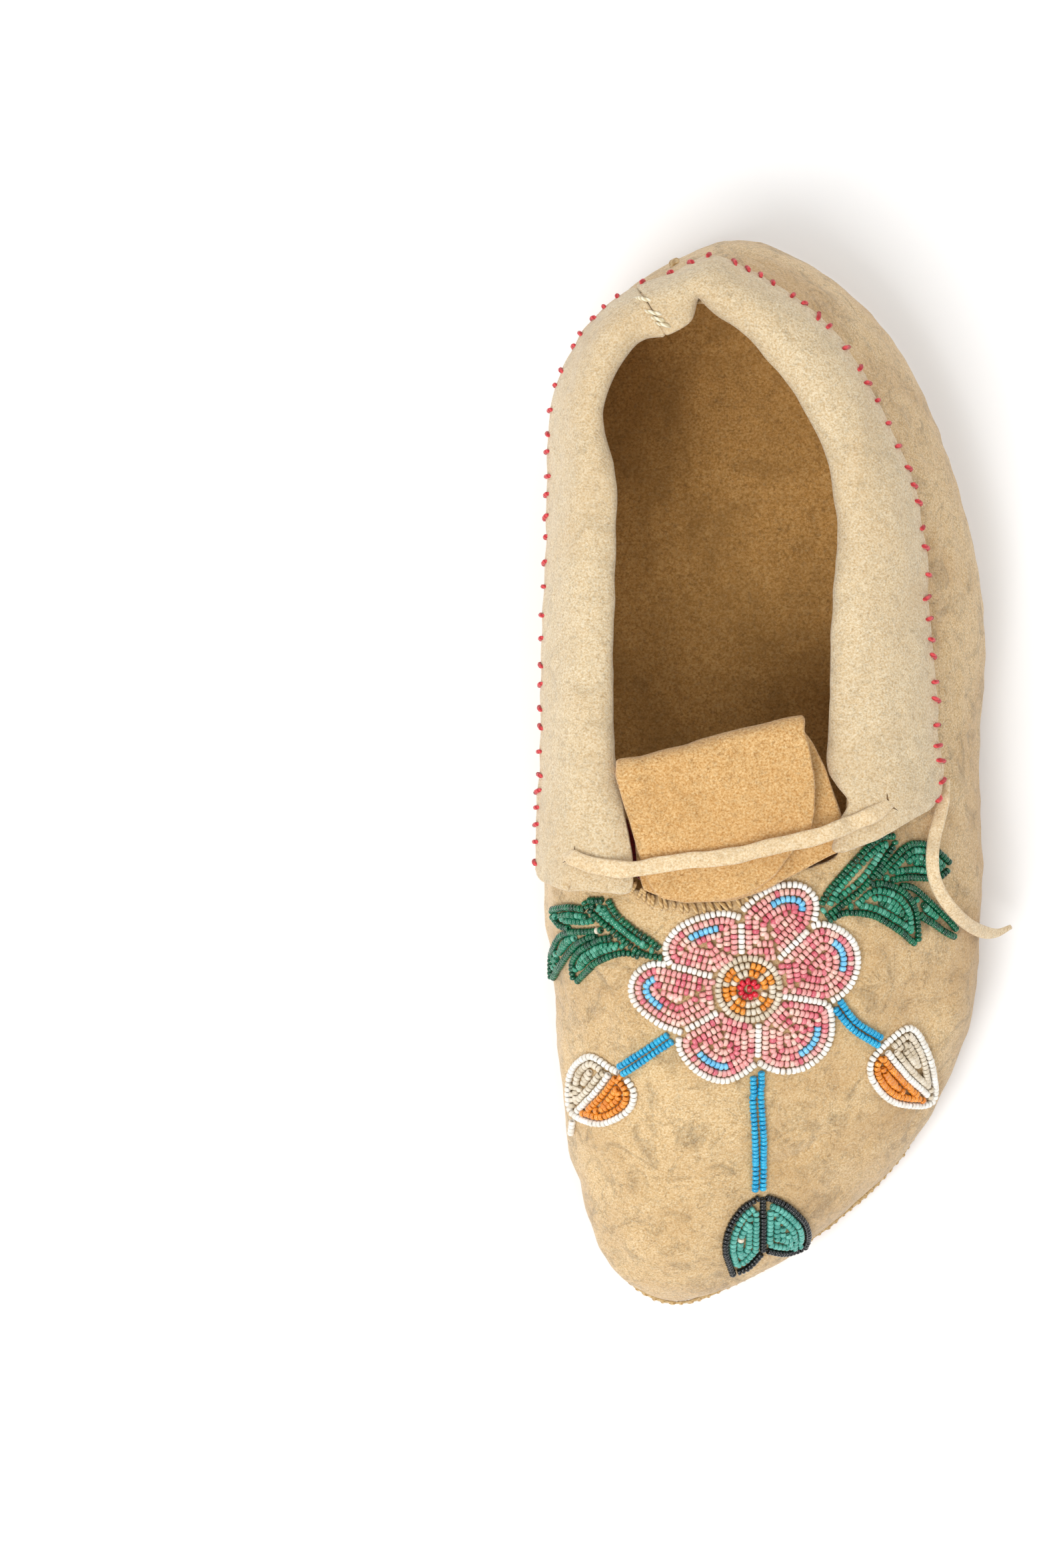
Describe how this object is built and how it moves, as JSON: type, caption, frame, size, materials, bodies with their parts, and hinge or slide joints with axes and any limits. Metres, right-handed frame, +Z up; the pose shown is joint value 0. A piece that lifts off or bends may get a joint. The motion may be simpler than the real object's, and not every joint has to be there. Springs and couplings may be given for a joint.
{
  "type": "moccasin",
  "caption": "Soft-soled buckskin moccasin for the left foot with folded cuffs, a folded tongue, a thong tie and a seed-bead flower on the vamp",
  "frame": {"origin": "middle of the bounding box on the ground under the sole, measured without the free thong tail", "axes": "+Y towards the heel, +X towards the outer side of the left foot, +Z up"},
  "size_m": [0.1177, 0.2624, 0.0715],
  "materials": {
    "sole_suede": "brown suede, matt nap",
    "upper_suede": "smoked buckskin, matt nap, mottled",
    "cuff_suede": "pale buckskin, matt nap",
    "tongue_suede": "golden buckskin, matt nap",
    "thong": "soft buckskin strip",
    "red_cloth": "woven wool cloth",
    "red_thread": "cotton thread",
    "cream_thread": "cotton thread",
    "seam_thread": "sinew thread",
    "pink_glass": "glossy seed beads",
    "orange_glass": "glossy seed beads",
    "blue_glass": "glossy seed beads",
    "crystal_glass": "glossy seed beads",
    "teal_glass": "glossy seed beads",
    "green_glass": "glossy seed beads"
  },
  "bodies": {
    "shoe": {"sole": "sole_suede", "sole_seam": "seam_thread", "upper": "upper_suede", "heel_seam": "seam_thread", "cuff_medial_corner": "cuff_suede", "edge_thread_medial_corner": "red_thread", "cuff_medial_heel": "cuff_suede", "edge_thread_medial_heel": "red_thread", "cuff_lateral_corner": "cuff_suede", "edge_thread_lateral_corner": "red_thread", "cuff_lateral_heel": "cuff_suede", "edge_thread_lateral_heel": "red_thread", "cuff_back_thread": "cream_thread", "throat_binding": "red_cloth", "throat_thread": "seam_thread", "thong_medial": "thong", "thong_lateral": "thong", "thong_tail": "thong", "petal_top": "pink_glass", "petal_upper_medial": "pink_glass", "petal_lower_medial": "pink_glass", "petal_bottom_medial": "pink_glass", "petal_bottom_lateral": "pink_glass", "petal_upper_lateral": "pink_glass", "flower_centre": "orange_glass", "stem_toe": "blue_glass", "stem_medial": "blue_glass", "stem_lateral": "blue_glass", "bud_medial_crystal": "crystal_glass", "bud_medial_orange": "orange_glass", "bud_lateral_crystal": "crystal_glass", "bud_lateral_orange": "orange_glass", "toe_leaf_medial": "teal_glass", "toe_leaf_lateral": "teal_glass", "green_leaf_lateral": "green_glass", "green_leaf_medial": "green_glass"},
    "tongue": {"tongue": "tongue_suede", "thong_middle": "thong"},
    "cuff_medial": {"cuff_medial_side": "cuff_suede", "edge_thread_medial_side": "red_thread"},
    "cuff_lateral": {"cuff_lateral_side": "cuff_suede", "edge_thread_lateral_side": "red_thread"}
  },
  "joints": [
    {"name": "tongue_lift", "type": "hinge", "parent": "shoe", "child": "tongue", "pos_m": [-0.00973, -0.02805, 0.062], "axis": [1, 0, 0], "range_deg": [0, 50]},
    {"name": "cuff_medial_lift", "type": "hinge", "parent": "shoe", "child": "cuff_medial", "pos_m": [-0.04173, 0.02745, 0.062], "axis": [0, 1, 0], "range_deg": [0, 55]},
    {"name": "cuff_lateral_lift", "type": "hinge", "parent": "shoe", "child": "cuff_lateral", "pos_m": [0.01947, -0.00015, 0.062], "axis": [-0.0406, -0.9992, 0], "range_deg": [0, 55]}
  ]
}
